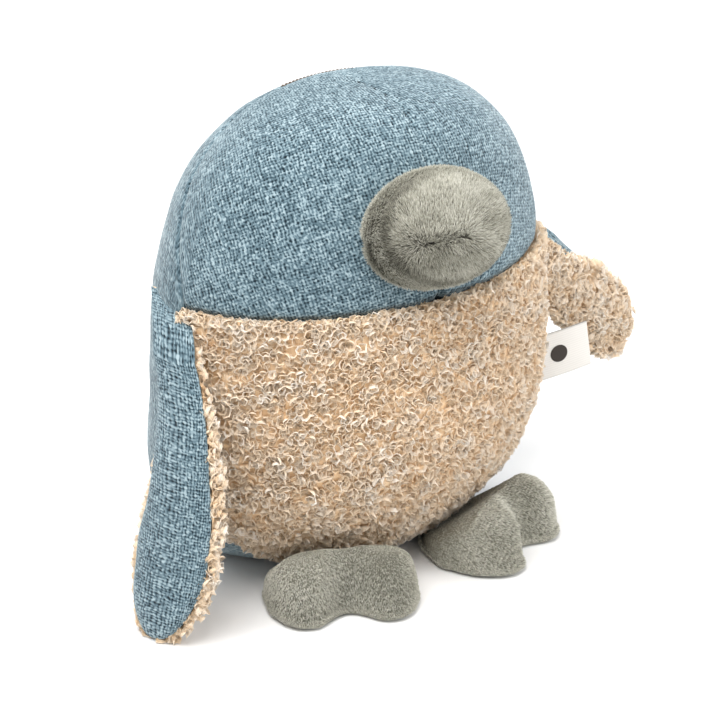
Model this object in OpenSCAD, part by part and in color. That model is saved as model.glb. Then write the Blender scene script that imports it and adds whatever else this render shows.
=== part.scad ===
/* [Body] */
// Width of the body between its side seams, mm
body_w = 182; // [150:1:230]
// Depth of the body from belly to back, mm
body_d = 132; // [110:1:165]
// Height of the crown above the resting surface, mm
body_h = 209; // [170:1:260]
// Height at which the body is widest, mm
waist_z = 94; // [76:1:115]
// Width of the flat base, mm
base_w = 112; // [90:1:140]
// How far the base sits behind the widest level, mm
bottom_back = 32; // [20:1:36]
// How square the sides are below the widest level
bottom_square = 3.0; // [2.4:0.1:3.6]
// How square the dome is above the widest level
crown_square = 2.7; // [2.2:0.1:3.2]
// How far the dome leans forward at the crown, mm
crown_forward = 4; // [0:1:10]
// How far the dome leans to the animal's left at the crown, mm
crown_left = 4; // [0:1:10]

/* [Fabric] */
// Thickness of the woven fabric, mm
weave_t = 1.4; // [1:0.1:2]
// Thickness of the curly fabric with its pile, mm
sherpa_t = 5.5; // [3:0.5:7]
// Thickness of the short plush with its pile, mm
plush_t = 2.5; // [1.5:0.1:3.5]
// Gap left between pieces that are sewn together, mm
seam_gap = 0.3; // [0.2:0.05:0.5]

/* [Bib] */
// Height of the two top corners of the bib, mm
bib_corner_z = 131; // [115:1:145]
// Height of the neckline under the beak, mm
bib_neck_z = 132; // [118:1:136]
// Height of the bib's lower edge at the front, mm
bib_low_z = 6; // [4:1:12]
// Height of the bib's lower edge at the side seams, mm
bib_side_z = 60; // [20:1:70]
// Angle from the front at which the side seams lie, degrees
side_seam_a = 84; // [78:1:88]

/* [Beak] */
// Width of the beak, mm
beak_w = 60; // [52:1:68]
// Height of the beak, mm
beak_h = 45; // [38:1:50]
// How far the rim stands out from the face, mm
rim_l = 15; // [12:1:20]
// How far the front bulges beyond the rim, mm
beak_bulge = 10; // [7:1:13]
// Height of the beak's centre where it meets the face, mm
beak_z = 163; // [160:1:166]
// How far the beak points upward, degrees
beak_tilt = 22; // [12:1:30]
// How far the beak turns to the animal's right, degrees
beak_turn = 8; // [0:1:12]
// How far round the face the beak's centre sits to the animal's right, degrees
beak_aside = 4; // [0:1:6]
// Depth of the fold along the lower rim, mm
fold_d = 1.2; // [0:0.2:1.6]

/* [Wings] */
// Length of a wing from its seam to its tip, mm
wing_l = 118; // [90:1:130]
// Width of a wing at its widest, mm
wing_w = 38; // [34:1:44]
// Width of a wing at its seam, mm
wing_root_w = 22; // [18:1:28]
// Width of the left wing at its widest, where it is gathered, mm
left_wing_w = 29; // [28:1:36]
// Width of the left wing at its seam, mm
left_root_w = 27; // [22:1:28]
// How far the right wing bows forward, mm
right_bow = 12; // [8:1:14]
// Thickness of a wing's filling, mm
wing_fill_t = 9; // [6:1:11]
// Height of the middle of the right wing's seam, mm
right_shoulder_z = 116; // [112:1:120]
// Height of the middle of the left wing's seam, mm
left_shoulder_z = 106; // [102:1:112]
// Gap between a wing's seam edge and the body, mm
shoulder_gap = 10; // [9.5:0.5:13]
// Distance of the right wing's seam in front of the widest point, mm
right_shoulder_front = 17; // [12:1:20]
// Distance of the left wing's seam in front of the widest point, mm
left_shoulder_front = 9; // [4:1:12]
// How far the right wing stands out from hanging straight down, degrees
right_out = 11; // [8:1:40]
// How far the right wing swings forward, degrees
right_forward = 14; // [0:1:30]
// How far the left wing stands out from hanging straight down, degrees
left_out = 53; // [48:1:66]
// How far the left wing swings back, degrees
left_back = 25; // [18:1:30]
// Turn of the left wing about its own length, degrees
left_twist = 82; // [60:1:90]

/* [Feet] */
// Width of a foot across its two lobes, mm
foot_w = 64; // [52:1:70]
// Length of a foot, mm
foot_l = 54; // [46:1:62]
// Height of a foot, mm
foot_h = 28; // [22:1:30]
// Depth of the notch between the two lobes, mm
notch_d = 10; // [4:1:12]
// Distance of a heel from the body's centre plane, mm
heel_x = 27; // [25:1:32]
// Distance of a heel in front of the origin, mm
heel_front = 21; // [20:1:28]
// How much farther out the left foot sits, mm
left_foot_out = 3; // [0:1:8]
// How much farther back the left foot sits, mm
left_foot_back = 2; // [0:1:4]
// How far the toes point outward, degrees
toe_out = 25; // [20:1:30]
// Thickness of a sole, mm
sole_t = 2; // [1:0.5:3]

/* [Zip and label] */
// Length of the zip along the seam over the crown, mm
zip_l = 92; // [84:1:96]
// Distance of the zip's right end from the body's centre plane, mm
zip_start = 16; // [12:1:20]
// Share of the seam's height that it goes back by
seam_back = 0.43; // [0.38:0.01:0.46]
// Width of the zip tape that shows, mm
tape_w = 7; // [6:1:10]
// Width of the closed coil, mm
coil_w = 4.4; // [3.5:0.1:6]
// Height of the closed coil above its tape, mm
coil_h = 1.3; // [1:0.1:1.8]
// Length of the slider, mm
slider_l = 11; // [8:0.5:14]
// Length of the pull tab, mm
pull_l = 22; // [15:1:28]
// Width of the label outside its seam, mm
label_w = 36; // [20:1:40]
// Height of the label, mm
label_h = 21; // [14:1:24]
// How far the label points forward, degrees
label_turn = 15; // [0:1:20]
// Height of the label's middle, mm
label_z = 55; // [50:1:60]
// Thickness of the folded label, mm
label_t = 0.6; // [0.4:0.1:1]

/* [Hidden] */
RIGHT = -1;
LEFT = 1;

weave_colour = "#9dbcc9";
sherpa_colour = "#e1c6a0";
plush_colour = "#a09e91";
fill_colour = "#f4f2ec";
tape_colour = "#e6e4dc";
coil_colour = "#6b5a52";
metal_colour = "#b9b9b6";

top_h = body_h - waist_z;
base_share = base_w / body_w;
low_h = waist_z / pow(1 - pow(base_share, bottom_square), 1 / bottom_square);
// Level at which the panels meet over the crown, just short of the crown's middle.
crown_s = 89.8;
// Depth of the filling below the surface, and the height of its flat bottom in such depths.
inset = weave_t + 4 * seam_gap;
fill_floor = 2.2;
// Share of the sherpa's thickness at its sewn edges, and the share of its width it takes to rise.
edge_share = 0.3;
edge_run = 0.1;

// ---- solids from grids of points ----

function unit(v) = v / norm(v);

// Triangles of a grid of n by m cells whose points start at index k.
function grid_faces(n, m, k, flip) = [
    for (i = [0 : n - 1], j = [0 : m - 1])
        let (a = k + i * (m + 1) + j, b = a + 1, c = a + m + 2, d = a + m + 1)
            each flip ? [[a, b, c], [a, c, d]] : [[a, c, b], [a, d, c]]
];

// A curved sheet with a thickness, between two grids of the same size.
module skin(outer, inner) {
    n = len(outer) - 1;
    m = len(outer[0]) - 1;
    k = (n + 1) * (m + 1);
    rim = concat(
        [for (j = [0 : m]) j],
        [for (i = [1 : n]) i * (m + 1) + m],
        [for (j = [m - 1 : -1 : 0]) n * (m + 1) + j],
        [for (i = [n - 1 : -1 : 1]) i * (m + 1)]
    );
    walls = [
        for (i = [0 : len(rim) - 1])
            let (a = rim[i], b = rim[(i + 1) % len(rim)])
                each [[a, b, b + k], [a, b + k, a + k]]
    ];
    polyhedron(
        concat([for (r = outer) each r], [for (r = inner) each r]),
        concat(grid_faces(n, m, 0, false), grid_faces(n, m, k, true), walls)
    );
}

// A closed solid through a stack of rings, with its two ends closed by fans.
module stack(rings) {
    n = len(rings) - 1;
    m = len(rings[0]);
    first = (n + 1) * m;
    centre = function (r) [for (c = [0 : 2]) [for (p = r) p[c]] * [for (p = r) 1] / m];
    polyhedron(
        concat([for (r = rings) each r], [centre(rings[0]), centre(rings[n])]),
        concat(
            [for (i = [0 : n - 1], j = [0 : m - 1])
                let (a = i * m + j, b = i * m + (j + 1) % m)
                    each [[a, b + m, b], [a, a + m, b + m]]],
            [for (j = [0 : m - 1]) [first, j, (j + 1) % m]],
            [for (j = [0 : m - 1]) [first + 1, n * m + (j + 1) % m, n * m + j]]
        )
    );
}

// ---- the body's outer surface ----

// A level is an angle: -90 is the lowest point of the full form, 0 the widest, 90 the crown.
function square_at(s) = s < 0 ? bottom_square : crown_square;
function reach(s) = pow(abs(cos(s)), 2 / square_at(s));
function rise(s) = pow(abs(sin(s)), 2 / square_at(s));
function height(s) = waist_z + (s < 0 ? -low_h : top_h) * rise(s);
function level(z) =
    let (q = z < waist_z ? (waist_z - z) / low_h : (z - waist_z) / top_h)
        (z < waist_z ? -1 : 1) * asin(min(1, pow(q, square_at(z - waist_z) / 2)));
function middle(s) = s < 0
    ? [0, bottom_back * pow(rise(s), 2)]
    : [crown_left, -crown_forward] * pow(rise(s), 2);
function drift(s) = 2 * rise(s) * (s < 0 ? [0, -bottom_back] / low_h
    : [crown_left, -crown_forward] / top_h);

// Outward direction of the surface at turn a from the front and level s.
function body_normal(a, s) =
    let (
        n = square_at(s),
        k = pow(max(reach(s), 0.001), n - 1),
        gx = k * sin(a) / (body_w / 2),
        gy = -k * cos(a) / (body_d / 2),
        gz = (s < 0 ? -1 / low_h : 1 / top_h) * pow(rise(s), n - 1),
        d = drift(s)
    )
        unit([gx, gy, gz - gx * d.x - gy * d.y]);

// A point of the surface, moved outward by off.
function body_point(a, s, off = 0) =
    [
        middle(s).x + body_w / 2 * reach(s) * sin(a),
        middle(s).y - body_d / 2 * reach(s) * cos(a),
        height(s)
    ] + off * body_normal(a, s);

function spread(from, to, n) = [for (i = [0 : n]) from + (to - from) * i / n];

// A sheet of the body's surface between two turns, from level low(a) to high(a). Its top lies
// top(i, j) outside the surface, where i and j are the shares of the way across and up.
module body_sheet(a0, a1, low, high, inner_off, top, na, ns) {
    grid = function (off) [
        for (i = [0 : na]) [
            for (j = [0 : ns])
                let (a = a0 + (a1 - a0) * i / na, s = low(a) + (high(a) - low(a)) * j / ns)
                    body_point(a, s, off(i / na, j / ns))
        ]
    ];
    skin(grid(function (i, j) inner_off), grid(top));
}

flat_top = function (i, j) 0;
edge_thin = function (k) min(1, edge_share + (1 - edge_share) * min(k, 1 - k) / edge_run);
sherpa_top = function (i, j) (sherpa_t - weave_t) * edge_thin(i) * edge_thin(j);

turn_gap = seam_gap / body_w * 360 / PI;
base_s = level(0);
neck_z = function (a) bib_neck_z + (bib_corner_z - bib_neck_z) * pow(abs(a) / side_seam_a, 2);
low_z = function (a) bib_low_z + (bib_side_z - bib_low_z) * pow(abs(a) / side_seam_a, 3);
neck_s = function (a) level(neck_z(a) + seam_gap / 2);
bib_top_s = function (a) level(neck_z(a) - seam_gap / 2);
bib_low_s = function (a) level(low_z(a) + seam_gap / 2);
under_s = function (a) level(low_z(a) - seam_gap / 2);

// Level of the seam from a corner of the bib up over the back of the crown, by halving.
seam_start = body_point(side_seam_a, level(bib_corner_z));
function seam_level(a, lo, hi, n = 20) =
    n == 0 ? lo
    : let (mid = (lo + hi) / 2, p = body_point(abs(a), mid))
        p.y > seam_start.y + seam_back * (p.z - seam_start.z)
            ? seam_level(a, mid, hi, n - 1) : seam_level(a, lo, mid, n - 1);
seam_s = function (a) seam_level(a, level(bib_corner_z), crown_s);
seam_over_s = function (a) level(body_point(abs(a), seam_s(a)).z + seam_gap / 2);
seam_under_s = function (a) level(body_point(abs(a), seam_s(a)).z - seam_gap / 2);
front_low_s = function (a) abs(a) < side_seam_a ? neck_s(a) : seam_over_s(a);
to_crown = function (a) crown_s;
to_base = function (a) base_s;

module body_fill() {
    turns = spread(0, 350, 35);
    levels = concat(spread(level(fill_floor * inset), 0, 12), spread(4, crown_s, 16));
    color(fill_colour)
        stack([for (s = levels) [for (a = turns) body_point(a, s, -inset)]]);
}

module front_panel(side) {
    color(weave_colour)
        body_sheet(side > 0 ? turn_gap : turn_gap - 180, side > 0 ? 180 - turn_gap : -turn_gap,
            front_low_s, to_crown, -weave_t, flat_top, 20, 12);
}

module front_panel_right() { front_panel(RIGHT); }
module front_panel_left() { front_panel(LEFT); }

back_seam_s = function (a) seam_under_s(360 - a);

module back_panel(side) {
    color(weave_colour)
        body_sheet(side > 0 ? side_seam_a + turn_gap : 180 + turn_gap,
            side > 0 ? 180 - turn_gap : 360 - side_seam_a - turn_gap,
            to_base, side > 0 ? seam_under_s : back_seam_s, -weave_t, flat_top, 12, 20);
}

module back_panel_right() { back_panel(RIGHT); }
module back_panel_left() { back_panel(LEFT); }

module under_panel() {
    color(weave_colour)
        body_sheet(-side_seam_a + turn_gap, side_seam_a - turn_gap,
            to_base, under_s, -weave_t, flat_top, 16, 5);
}

module base_panel() {
    c = middle(base_s);
    color(weave_colour)
        linear_extrude(weave_t)
            polygon([for (a = spread(0, 350, 35)) let (p = body_point(a, base_s, -inset - 1))
                [p.x, p.y]]);
}

module bib() {
    color(sherpa_colour)
        body_sheet(-side_seam_a + turn_gap, side_seam_a - turn_gap,
            bib_low_s, bib_top_s, -weave_t, sherpa_top, 20, 12);
}

// ---- the beak ----

beak_dir = [-sin(beak_turn) * cos(beak_tilt), -cos(beak_turn) * cos(beak_tilt), sin(beak_tilt)];
beak_side = [cos(beak_turn), -sin(beak_turn), 0];
beak_up = cross(beak_side, beak_dir) * -1;
beak_foot = body_point(-beak_aside, level(beak_z));

function beak_point(t, share, out) =
    beak_foot + share * (beak_w / 2 * cos(t) * beak_side + beak_h / 2 * sin(t) * beak_up)
    + out * beak_dir;

// How far inside (below 1) or outside (above 1) the body a point lies.
function body_share(p) =
    let (
        low = p.z < waist_z,
        q = min(1.5, abs(p.z - waist_z) / (low ? low_h : top_h)),
        c = low ? [0, bottom_back] * q * q : [crown_left, -crown_forward] * q * q,
        n = low ? bottom_square : crown_square,
        r = norm([(p.x - c.x) / (body_w / 2), (p.y - c.y) / (body_d / 2)])
    )
        pow(r, n) + pow(q, n);

// Distance along the beak at which a line of it leaves the body, by halving.
function seat(t, share, lo = -40, hi = 12, n = 18) =
    n == 0 ? hi
    : let (mid = (lo + hi) / 2)
        body_share(beak_point(t, share, mid)) > 1
            ? seat(t, share, lo, mid, n - 1) : seat(t, share, mid, hi, n - 1);

rim_thin = plush_t / (beak_h / 2);
// Clear distance between the beak and the body, along the beak.
beak_clear = 1.4;
// How squarely the beak's front bulges.
dome_square = 2.6;
fold = function (t, v) t > 180 ? fold_d * pow(sin(t), 2) * pow(sin(v * 180), 2) : 0;

module beak_rim(t0, t1) {
    shell = function (share, dip) [
        for (t = spread(t0, t1, 16)) [
            for (v = spread(0, 1, 4))
                let (start = seat(t, 1) + beak_clear)
                    beak_point(t, share - dip * fold(t, v) / (beak_h / 2),
                        start + (rim_l - start) * v)
        ]
    ];
    color(plush_colour)
        skin(shell(1 - rim_thin, 0), shell(1, 1));
}

module beak_rim_upper() { beak_rim(1, 179); }
module beak_rim_lower() { beak_rim(181, 359); }

dome = function (share) rim_l + seam_gap + beak_bulge * sqrt(max(0, 1 - pow(share, dome_square)));

module beak_front() {
    turns = spread(345, 0, 23);
    inner_share = 1 - rim_thin;
    shares = [0.15, 0.45, 0.7, 0.88, 0.97, 1];
    color(plush_colour)
        stack(concat(
            [for (k = shares) [for (t = turns) beak_point(t, k, dome(k))]],
            [for (i = [5 : -1 : 0]) [for (t = turns)
                beak_point(t, shares[i] * inner_share, max(rim_l + seam_gap,
                    dome(shares[i]) - plush_t * (1 - pow(shares[i], 6))))]]
        ));
}

module beak_fill() {
    turns = spread(0, 345, 23);
    full = 1 - rim_thin - 3 * seam_gap / (beak_h / 2);
    shares = [for (k = spread(0.1, 1, 6)) k * full];
    color(fill_colour)
        stack(concat(
            [for (k = shares) [for (t = turns) beak_point(t, k, seat(t, k) + beak_clear)]],
            [[for (t = turns) beak_point(t, full, rim_l - seam_gap)]]
        ));
}

// ---- the wings ----

// Share of a wing's width and thickness that its filling takes up, and of its length from
// one end of the filling to the other.
wing_fill_share = 0.85;
wing_fill_from = 0.03;
wing_fill_to = 0.95;
// Shares of a wing's length at which it is widest and at which its rounded tip begins, and the
// share of its width left at the very tip.
widest_at = 0.8;
tip_from = 0.62;
tip_blunt = 0.08;
// Shares of the full thickness left at the root, and of a cloth's at the seam and the edges.
thin_root = 0.2;
thin_seam = 0.25;
thin_edge = 0.3;
// Degrees of a wave for each wing length, by which the thickness, the cloth and the bow rise.
plump_turn = 240;
taper_turn = 300;
bow_turn = 150;
bow_rise = 0.75;

function turn_y(v, a) = [v.x * cos(a) + v.z * sin(a), v.y, -v.x * sin(a) + v.z * cos(a)];
function turn_z(v, a) = [v.x * cos(a) - v.y * sin(a), v.x * sin(a) + v.y * cos(a), v.z];

// Length, width and outward directions of a wing: twisted about its length, raised, swung.
function wing_frame(side, twist, out, swing) = [
    for (v = [[0, 0, -1], [sin(twist) * -side, cos(twist), 0], [side * cos(twist), sin(twist), 0]])
        turn_z(turn_y(v, -side * out), swing)
];

function wing_root(side) =
    let (
        z = side > 0 ? left_shoulder_z : right_shoulder_z,
        front = side > 0 ? left_shoulder_front : right_shoulder_front,
        s = level(z)
    )
        [side * (body_w / 2 * reach(s) + shoulder_gap) + middle(s).x, middle(s).y - front, z];

right_frame = wing_frame(RIGHT, 0, right_out, right_forward);
left_frame = wing_frame(LEFT, left_twist, left_out, left_back);

ease = function (k) k * k * (3 - 2 * k);
half_width = function (side, u)
    let (
        root = (side > 0 ? left_root_w : wing_root_w) / 2,
        wide = (side > 0 ? left_wing_w : wing_w) / 2,
        belly = root + (wide - root) * ease(min(1, u / widest_at)),
        tip = sqrt(max(0, 1 - pow(max(0, (u - tip_from) / (1 - tip_from)), 2)))
    )
        belly * (tip_blunt + (1 - tip_blunt) * tip);
plump_along = function (u)
    (thin_root + (1 - thin_root) * sin(min(90, u * plump_turn))) * sqrt(max(0, 1 - pow(u, 6)));
plump = function (u, v) plump_along(u) * sqrt(max(0, 1 - v * v));
bow = function (side, u) side > 0 ? 0 : -right_bow * sin(bow_turn * pow(u, bow_rise));

taper = function (u, v)
    (thin_seam + (1 - thin_seam) * sin(min(90, u * taper_turn)))
    * (thin_edge + (1 - thin_edge) * sqrt(max(0, 1 - pow(v, 4))));

function wing_point(side, frame, u, v, lift) =
    wing_root(side) + frame[0] * wing_l * u + frame[1] * (half_width(side, u) * v + bow(side, u))
    + frame[2] * lift;

// One face of a wing: dir is 1 for the outer face and -1 for the inner one.
module wing_skin(side, frame, dir, t) {
    face = function (extra) [
        for (u = spread(0, 1, 14)) [
            for (v = spread(-1, 1, 10))
                wing_point(side, frame, u, v,
                    dir * (seam_gap / 2 + (wing_fill_t / 2 + seam_gap) * plump(u, v)
                        + extra * taper(u, v)))
        ]
    ];
    if (dir * side > 0)
        skin(face(0), face(t));
    else
        skin(face(t), face(0));
}

module wing_fill(side, frame) {
    color(fill_colour)
        stack([
            for (u = spread(wing_fill_from, wing_fill_to, 12)) [
                for (k = spread(0, 345, 23))
                    wing_point(side, frame, u, wing_fill_share * cos(k),
                        side * wing_fill_share * wing_fill_t / 2 * plump_along(u) * sin(k))
            ]
        ]);
}

module wing_fill_right() { wing_fill(RIGHT, right_frame); }
module wing_outer_right() { color(weave_colour) wing_skin(RIGHT, right_frame, 1, weave_t); }
module wing_inner_right() { color(sherpa_colour) wing_skin(RIGHT, right_frame, -1, sherpa_t); }
module wing_fill_left() { wing_fill(LEFT, left_frame); }
module wing_outer_left() { color(weave_colour) wing_skin(LEFT, left_frame, 1, weave_t); }
module wing_inner_left() { color(sherpa_colour) wing_skin(LEFT, left_frame, -1, sherpa_t); }

// ---- the feet ----

// A foot runs from its heel (l = 0) to its toes, and x is the distance from its own middle line.
foot_half = foot_w / 2;
foot_clear = 2.2;
// Shares of a foot's half width taken by the notch, and from which the toes round off.
notch_share = 0.5;
toe_corner = 0.5;
// Shares of a foot's length by which the toes and the heel round off, over which the top falls
// at the toes, and over which it rises from the heel.
toe_round = 0.3;
heel_round = 0.42;
toe_fall = 0.26;
heel_rise = 0.62;
heel_slope = 1.1;
// Share of the height left at the edges.
foot_edge = 0.12;

toe_line = function (x)
    foot_l - notch_d * pow(max(0, 1 - pow(x / foot_half / notch_share, 2)), 2)
    - foot_l * toe_round * pow(max(0, (abs(x) / foot_half - toe_corner) / (1 - toe_corner)), 3);
heel_line = function (x) foot_l * heel_round * pow(abs(x) / foot_half, 2.5);
over_edge = function (share) foot_edge + (1 - foot_edge) * share;
foot_top = function (l, x)
    let (
        from_toe = max(0, toe_line(x) - l) / foot_l,
        front = sqrt(max(0, 1 - pow(max(0, 1 - from_toe / toe_fall), 2))),
        back = pow(min(1, max(0, (l - 1) / (foot_l * heel_rise))), heel_slope),
        side = pow(max(0, 1 - pow(abs(x) / foot_half, 5)), 0.4)
    )
        foot_h * over_edge(front * back) * over_edge(side);
foot_skin_top = function (l, x) max(sole_t + plush_t + seam_gap, foot_top(l, x));
foot_skin_low = function (l, x) foot_skin_top(l, x) - plush_t;
foot_fill_top = function (l, x) max(sole_t + 2 * seam_gap, foot_skin_low(l, x) - foot_clear);
foot_fill_low = function (l, x) sole_t + seam_gap;

function heel_place(side) = side > 0
    ? [heel_x + left_foot_out, left_foot_back - heel_front, 0] : [-heel_x, -heel_front, 0];
function foot_place(side, p) =
    heel_place(side) + turn_z([p.x, -p.y, p.z], side * toe_out);

module foot_sheet(side, low, top, shrink) {
    grid = function (f) [
        for (x = spread(shrink - foot_half, foot_half - shrink, 14)) [
            for (k = spread(0, 1, 9))
                let (
                    heel = heel_line(x) + shrink,
                    l = heel + (toe_line(x) - shrink - heel) * k
                )
                    foot_place(side, [x, l, f(l, x)])
        ]
    ];
    skin(grid(top), grid(low));
}

module foot_fill(side) {
    color(fill_colour)
        foot_sheet(side, foot_fill_low, foot_fill_top, plush_t + foot_clear);
}

module foot_upper(side) {
    color(plush_colour)
        foot_sheet(side, foot_skin_low, foot_skin_top, 0);
}

module foot_sole(side) {
    color(plush_colour)
        linear_extrude(sole_t)
            polygon([for (p = concat(
                [for (x = spread(-foot_half, foot_half, 14)) [x, toe_line(x), 0]],
                [for (x = spread(foot_half, -foot_half, 14)) [x, heel_line(x), 0]]
            )) let (q = foot_place(side, p)) [q.x, q.y]]);
}

module foot_fill_right() { foot_fill(RIGHT); }
module foot_upper_right() { foot_upper(RIGHT); }
module foot_sole_right() { foot_sole(RIGHT); }
module foot_fill_left() { foot_fill(LEFT); }
module foot_upper_left() { foot_upper(LEFT); }
module foot_sole_left() { foot_sole(LEFT); }

// ---- label and zip ----

module label() {
    p = body_point(side_seam_a, level(label_z), sherpa_t);
    color("white")
        translate([p.x, p.y, label_z - label_h / 2])
            rotate(-label_turn) translate([0, -label_t / 2, 0])
                cube([label_w, label_t, label_h]);
}

// The seam over the crown lies in a slanted plane. up and flat are two directions in that plane.
seam_up = unit([0, seam_back, 1]);
seam_normal = [0, seam_up.z, -seam_up.y];

// Height of the body's surface above a place near the crown, by repeated trial.
function crown_z(x, y, q = 1, n = 12) =
    n == 0 ? waist_z + top_h * q
    : let (
        r = norm([(x - crown_left * q * q) / (body_w / 2), (y + crown_forward * q * q) / (body_d / 2)])
    )
        crown_z(x, y, pow(max(0, 1 - pow(r, crown_square)), 1 / crown_square), n - 1);

// Point of the seam at a distance x from the body's centre plane, again by trial.
function seam_at(x, z = body_h, n = 12) =
    let (y = seam_start.y + seam_back * (z - seam_start.z))
        n == 0 ? [x, y, z] : seam_at(x, crown_z(x, y), n - 1);

// Point beside the seam by w and above the surface by off.
function zip_point(x, w, off) =
    let (
        p = seam_at(x),
        y = p.y + w,
        z = crown_z(x, y),
        dx = (crown_z(x + 0.5, y) - crown_z(x - 0.5, y)),
        dy = (crown_z(x, y + 0.5) - crown_z(x, y - 0.5))
    )
        [x, y, z] + off * unit([-dx, -dy, 1]);

module zip_strip(w, low, high) {
    grid = function (off) [
        for (x = spread(-zip_start, zip_l - zip_start, 30)) [
            for (k = spread(-w / 2, w / 2, 4)) zip_point(x, k * seam_up.z, off)
        ]
    ];
    skin(grid(low), grid(high));
}

tape_t = 0.5;
tape_low = seam_gap;
tape_high = tape_low + tape_t;

module zip_tape() {
    color(tape_colour)
        zip_strip(tape_w, tape_low, tape_high);
}

module zip_coil() {
    color(coil_colour)
        zip_strip(coil_w, tape_high + coil_gap, tape_high + coil_h);
}

coil_gap = 0.1;
slider_over = 4;
slider_w = coil_w + slider_over;
slider_t = 1.8;
slider_round = 1.5;
slider_hole = 1.6;
slider_clear = 1;
pull_t = 0.8;
pull_root_w = 4;
pull_end_w = 6;

// The slider starts near the zip's left end, and runs along the circle through three points
// of the seam.
slider_end = 3;
slider_x = zip_l - zip_start - slider_l / 2 - slider_end;
slider_run = 38;
run_a = seam_at(slider_x);
run_b = seam_at(slider_x - slider_run / 2);
run_c = seam_at(slider_x - slider_run);
function flat(p) = [p.x, (p - run_a) * seam_up];
function round_centre(a, b, c) =
    let (d = 2 * (a.x * (b.y - c.y) + b.x * (c.y - a.y) + c.x * (a.y - b.y)))
        [
            (a * a * (b.y - c.y) + b * b * (c.y - a.y) + c * c * (a.y - b.y)) / d,
            (a * a * (c.x - b.x) + b * b * (a.x - c.x) + c * c * (b.x - a.x)) / d
        ];
run_flat = round_centre(flat(run_a), flat(run_b), flat(run_c));
run_centre = [run_flat.x, run_a.y, run_a.z] + run_flat.y * seam_up;

slider_out = unit(run_a - run_centre);
slider_along = cross(seam_normal, slider_out);
slider_foot = run_a + slider_out * (tape_high + coil_h + slider_clear);

// Places a form drawn flat, with its length along the zip, on the zip at the slider.
module on_zip(out) {
    p = slider_foot + slider_out * out;
    multmatrix([
        for (i = [0 : 2]) [slider_along[i], seam_normal[i], slider_out[i], p[i]]
    ])
        children();
}

module zip_slider() {
    color(metal_colour)
        on_zip(0)
            linear_extrude(slider_t)
                difference() {
                    offset(slider_round)
                        square([slider_l, slider_w] - 2 * slider_round * [1, 1], center = true);
                    circle(d = slider_hole, $fn = 24);
                }
}

module zip_pull() {
    color(metal_colour)
        on_zip(slider_t + seam_gap)
            linear_extrude(pull_t)
                hull() {
                    translate([pull_root_w / 2, 0]) circle(d = pull_root_w, $fn = 32);
                    translate([pull_l - pull_end_w / 2, 0]) circle(d = pull_end_w, $fn = 32);
                }
}

body_fill();
front_panel_right();
front_panel_left();
back_panel_right();
back_panel_left();
under_panel();
base_panel();
bib();
beak_fill();
beak_rim_upper();
beak_rim_lower();
beak_front();
wing_fill_right();
wing_outer_right();
wing_inner_right();
wing_fill_left();
wing_outer_left();
wing_inner_left();
foot_fill_right();
foot_upper_right();
foot_sole_right();
foot_fill_left();
foot_upper_left();
foot_sole_left();
label();
zip_tape();
zip_coil();
zip_slider();
zip_pull();
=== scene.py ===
import math

import bpy
import numpy as np
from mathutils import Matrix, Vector


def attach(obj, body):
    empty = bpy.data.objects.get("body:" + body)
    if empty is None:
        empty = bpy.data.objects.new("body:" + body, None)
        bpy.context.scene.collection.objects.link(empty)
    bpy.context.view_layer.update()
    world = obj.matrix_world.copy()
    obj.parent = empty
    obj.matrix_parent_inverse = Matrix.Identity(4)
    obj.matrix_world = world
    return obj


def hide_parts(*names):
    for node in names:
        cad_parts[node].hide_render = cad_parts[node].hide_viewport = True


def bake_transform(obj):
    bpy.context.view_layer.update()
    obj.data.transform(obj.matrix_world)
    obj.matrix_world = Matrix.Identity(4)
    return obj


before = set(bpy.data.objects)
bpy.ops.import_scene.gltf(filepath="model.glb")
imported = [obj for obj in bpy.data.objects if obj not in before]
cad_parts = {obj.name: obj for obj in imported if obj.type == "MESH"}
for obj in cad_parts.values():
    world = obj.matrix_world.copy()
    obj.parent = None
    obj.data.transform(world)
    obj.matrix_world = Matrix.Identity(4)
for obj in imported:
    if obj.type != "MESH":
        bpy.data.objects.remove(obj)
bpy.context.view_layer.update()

# Everything below is worked out in millimetres and degrees, and turned into metres by MM.
MM = 0.001
RIGHT, LEFT = -1, 1

# ---- sizes, the same as the part's own ----

BODY_W, BODY_D, BODY_H = 182, 132, 209
WAIST_Z, BASE_W = 94, 112
BOTTOM_BACK, BOTTOM_SQUARE, CROWN_SQUARE = 32, 3.0, 2.7
CROWN_FORWARD, CROWN_LEFT = 4, 4
BIB_CORNER_Z, BIB_NECK_Z, BIB_LOW_Z, BIB_SIDE_Z = 131, 132, 6, 60
SIDE_SEAM = 84
SEAM_BACK = 0.43
BEAK_W, BEAK_H, RIM_L, BEAK_BULGE = 60, 45, 15, 10
BEAK_Z, BEAK_TILT, BEAK_TURN, BEAK_ASIDE = 163, 22, 8, -4
WING_L, WING_T, WING_BOW = 118, 9, 12
WING_W = {RIGHT: 38, LEFT: 29}
WING_ROOT_W = {RIGHT: 22, LEFT: 27}
SHOULDER_Z = {RIGHT: 116, LEFT: 106}
SHOULDER_FRONT = {RIGHT: 17, LEFT: 9}
SHOULDER_GAP = 10
WING_TWIST = {RIGHT: 0, LEFT: 82}
WING_OUT = {RIGHT: 11, LEFT: 53}
WING_SWING = {RIGHT: 14, LEFT: 25}
FOOT_W, FOOT_L, FOOT_H, NOTCH_D = 64, 54, 28, 10
HEEL_X = {RIGHT: -27, LEFT: 30}
HEEL_FRONT = {RIGHT: 21, LEFT: 19}
TOE_OUT, SOLE_T = 25, 2

TOP_H = BODY_H - WAIST_Z
LOW_H = WAIST_Z / (1 - (BASE_W / BODY_W) ** BOTTOM_SQUARE) ** (1 / BOTTOM_SQUARE)
CROWN_LEVEL = 89.99


def unit(v):
    return v / np.maximum(np.linalg.norm(v, axis=-1, keepdims=True), 1e-9)


def stacked(*parts):
    return np.stack(np.broadcast_arrays(*parts), axis=-1).astype(float)


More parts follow.
